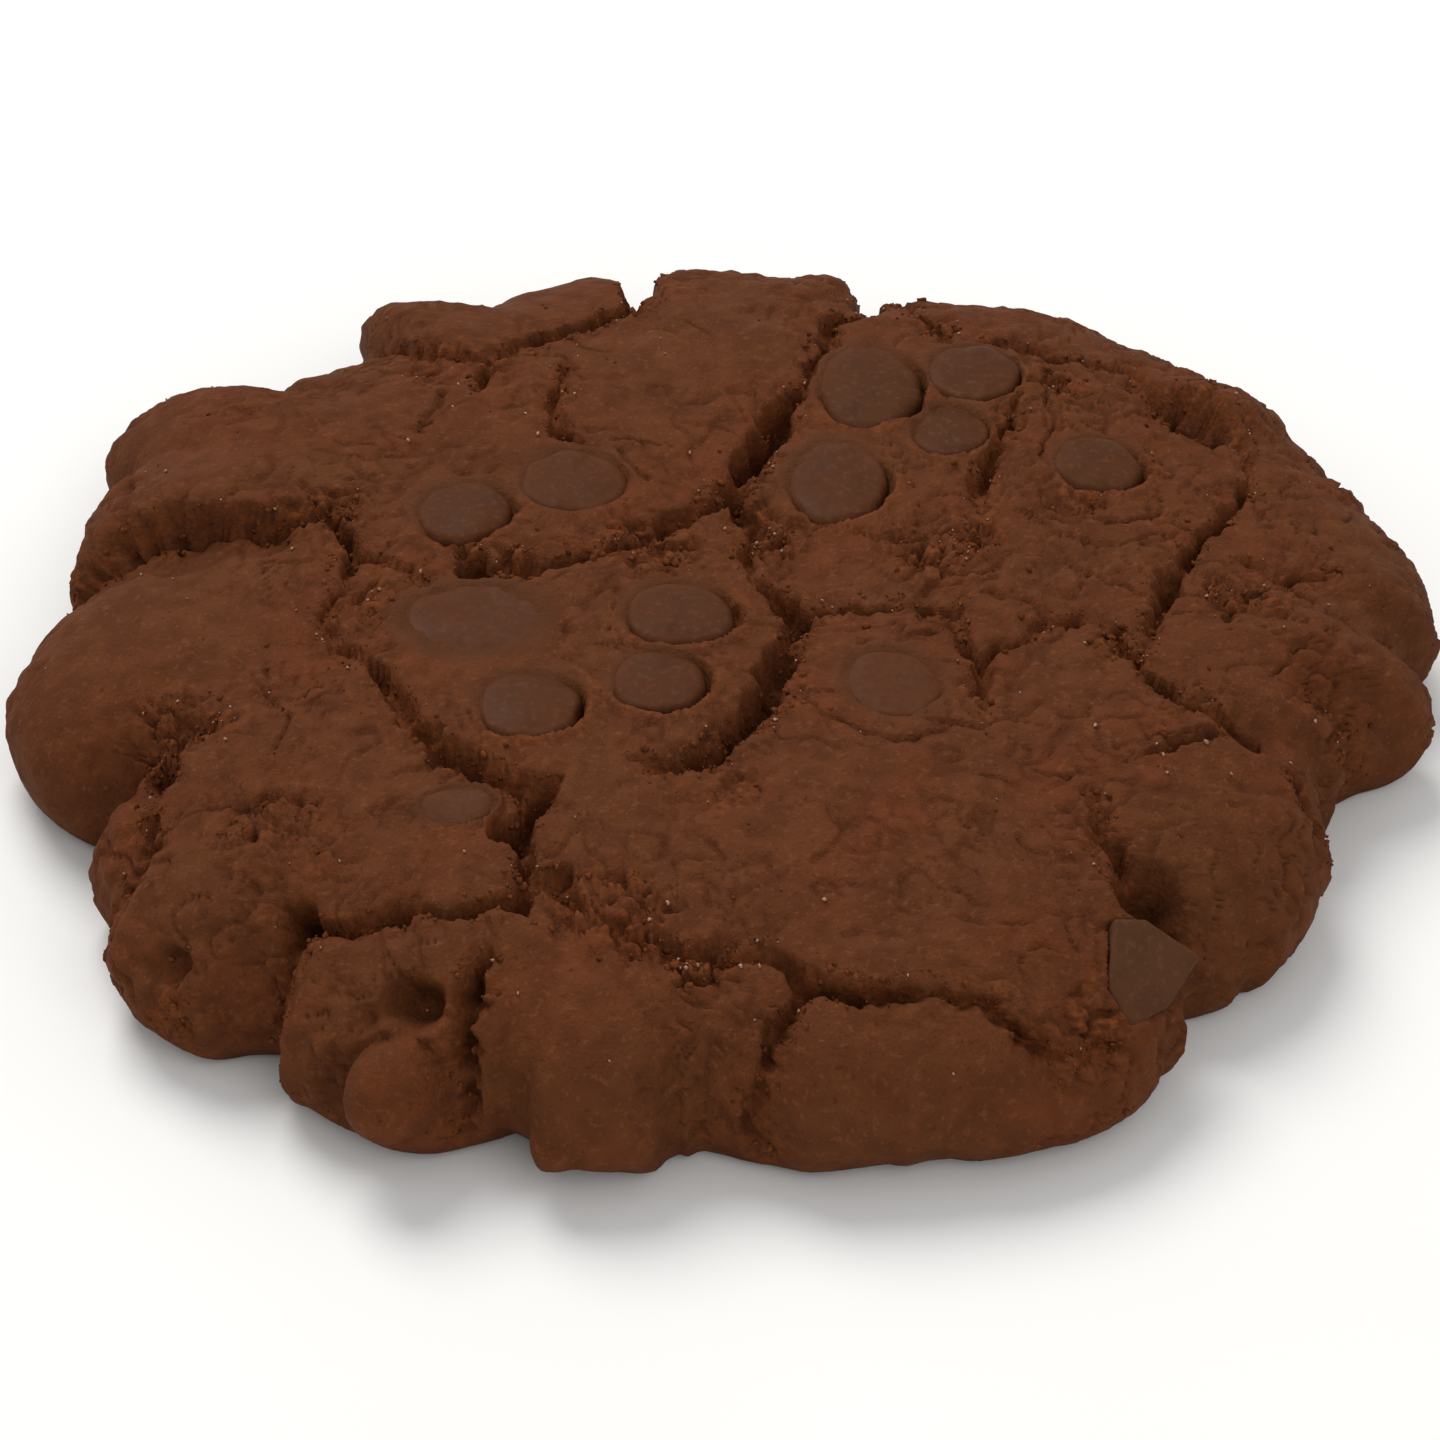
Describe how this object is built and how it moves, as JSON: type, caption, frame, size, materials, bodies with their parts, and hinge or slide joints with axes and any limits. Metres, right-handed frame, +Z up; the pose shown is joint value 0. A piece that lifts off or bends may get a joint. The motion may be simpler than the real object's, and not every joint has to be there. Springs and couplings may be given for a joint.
{
  "type": "double chocolate cookie",
  "caption": "Round, domed chocolate cookie with a cracked crust, a lobed rim and chocolate chips and a chunk set in its top.",
  "frame": {"origin": "under the middle of the cookie's box, on the surface it rests on", "axes": "+Z up out of the cracked top, +X along the cookie's widest way, +Y towards its back as pictured"},
  "size_m": [0.0916, 0.0838, 0.0141],
  "materials": {
    "dough": "dry, crumbly baked cocoa dough",
    "chocolate": "dull, slightly waxy dark chocolate"
  },
  "bodies": {
    "root": {"cookie": "dough", "chip_back_front": "chocolate", "chip_back_left": "chocolate", "chip_back_middle": "chocolate", "chip_back_near": "chocolate", "chip_back_right": "chocolate", "chip_centre_left": "chocolate", "chip_centre_lower": "chocolate", "chip_centre_upper": "chocolate", "chip_crack_side": "chocolate", "chip_far_left": "chocolate", "chip_far_middle": "chocolate", "chip_melted": "chocolate", "chip_middle_right": "chocolate", "chunk": "chocolate"}
  },
  "joints": []
}
